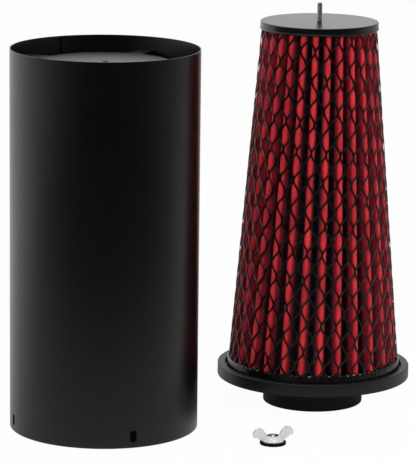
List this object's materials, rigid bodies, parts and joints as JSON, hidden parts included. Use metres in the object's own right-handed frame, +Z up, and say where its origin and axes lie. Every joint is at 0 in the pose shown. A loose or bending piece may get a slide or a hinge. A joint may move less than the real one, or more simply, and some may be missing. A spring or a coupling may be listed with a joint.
{
  "type": "canister air filter",
  "caption": "Heavy vehicle canister air filter: open steel canister, conical pleated element with an expanded metal sleeve, wing nut and sealing washer, set out apart.",
  "frame": {"origin": "centre of the outlet neck's mouth, on the plane that all three groups stand on", "axes": "+Z up along the element's axis, out of the neck towards the mounting stud; the canister stands towards -X and the wing nut towards -Y"},
  "size_m": [0.6044, 0.4419, 0.617],
  "materials": {
    "canister_paint": "satin black powder coat",
    "cap_paint": "satin black",
    "mesh_paint": "satin black coating on expanded steel",
    "core_steel": "bright zinc",
    "media_red": "oiled cotton gauze",
    "potting_black": "glossy where it set",
    "flange_rubber": "matt moulded polyurethane",
    "stud_zinc": "zinc plated",
    "nut_zinc": "bright cast",
    "washer_rubber": "matt"
  },
  "bodies": {
    "root": {"canister_shell": "canister_paint", "inlet_plate": "canister_paint", "base_flange": "flange_rubber", "base_potting": "potting_black", "outer_mesh": "mesh_paint", "pleated_media": "media_red", "inner_core": "core_steel", "top_potting": "potting_black", "top_cap": "cap_paint", "load_plate": "stud_zinc", "mounting_stud": "stud_zinc", "sealing_washer": "washer_rubber", "wing_nut": "nut_zinc"}
  },
  "joints": []
}
